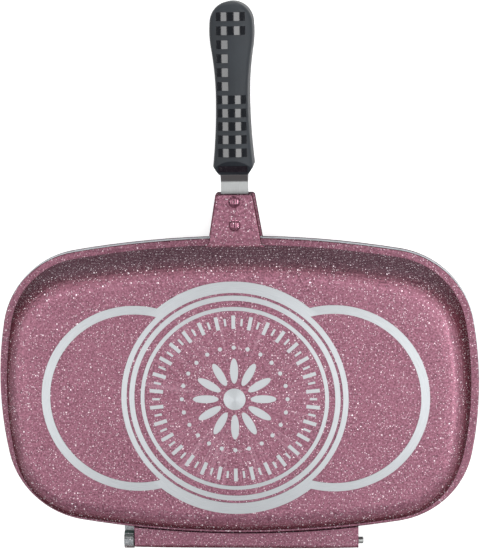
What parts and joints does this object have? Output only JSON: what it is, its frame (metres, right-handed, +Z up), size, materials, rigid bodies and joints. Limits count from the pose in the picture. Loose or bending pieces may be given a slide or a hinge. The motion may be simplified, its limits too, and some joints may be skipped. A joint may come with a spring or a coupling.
{
  "type": "double sided flip pan",
  "caption": "Die-cast non-stick pan of a deep and a shallow half, hinged along one long side and carried by a split handle, that is turned over to cook both sides.",
  "frame": {"origin": "middle of the shallow half's base, on the surface that the closed pan stands on", "axes": "+X along the hinge, +Y from the hinge towards the handles, +Z up from the shallow half to the deep half"},
  "size_m": [0.403, 0.4623, 0.0745],
  "materials": {
    "granite_coat": "die-cast aluminium under a mauve pink granite-look non-stick coat with white flecks, dark grey inside, with bare turned rings on the base",
    "silicone": "grey silicone, satin",
    "bright_steel": "brushed stainless steel",
    "coated_rivet": "aluminium, coated mauve pink with the pan",
    "bakelite": "black bakelite, fine matt texture with polished raised pads",
    "screw_steel": "zinc plated steel",
    "magnet_plating": "nickel plated magnet"
  },
  "bodies": {
    "shallow_half": {"shallow_pan": "granite_coat", "seal": "silicone", "hinge_pin": "bright_steel", "shallow_tang": "bright_steel", "shallow_rivets": "coated_rivet", "shallow_grip": "bakelite", "shallow_grip_screw": "screw_steel", "shallow_magnet": "magnet_plating"},
    "deep_half": {"deep_pan": "granite_coat", "deep_tang": "bright_steel", "deep_rivets": "coated_rivet", "deep_grip": "bakelite", "deep_grip_screw": "screw_steel", "deep_magnet": "magnet_plating"}
  },
  "joints": [
    {"name": "hinge", "type": "hinge", "parent": "shallow_half", "child": "deep_half", "pos_m": [0, -0.1349, 0.027], "axis": [1, 0, 0], "range_deg": [0, 105]}
  ]
}
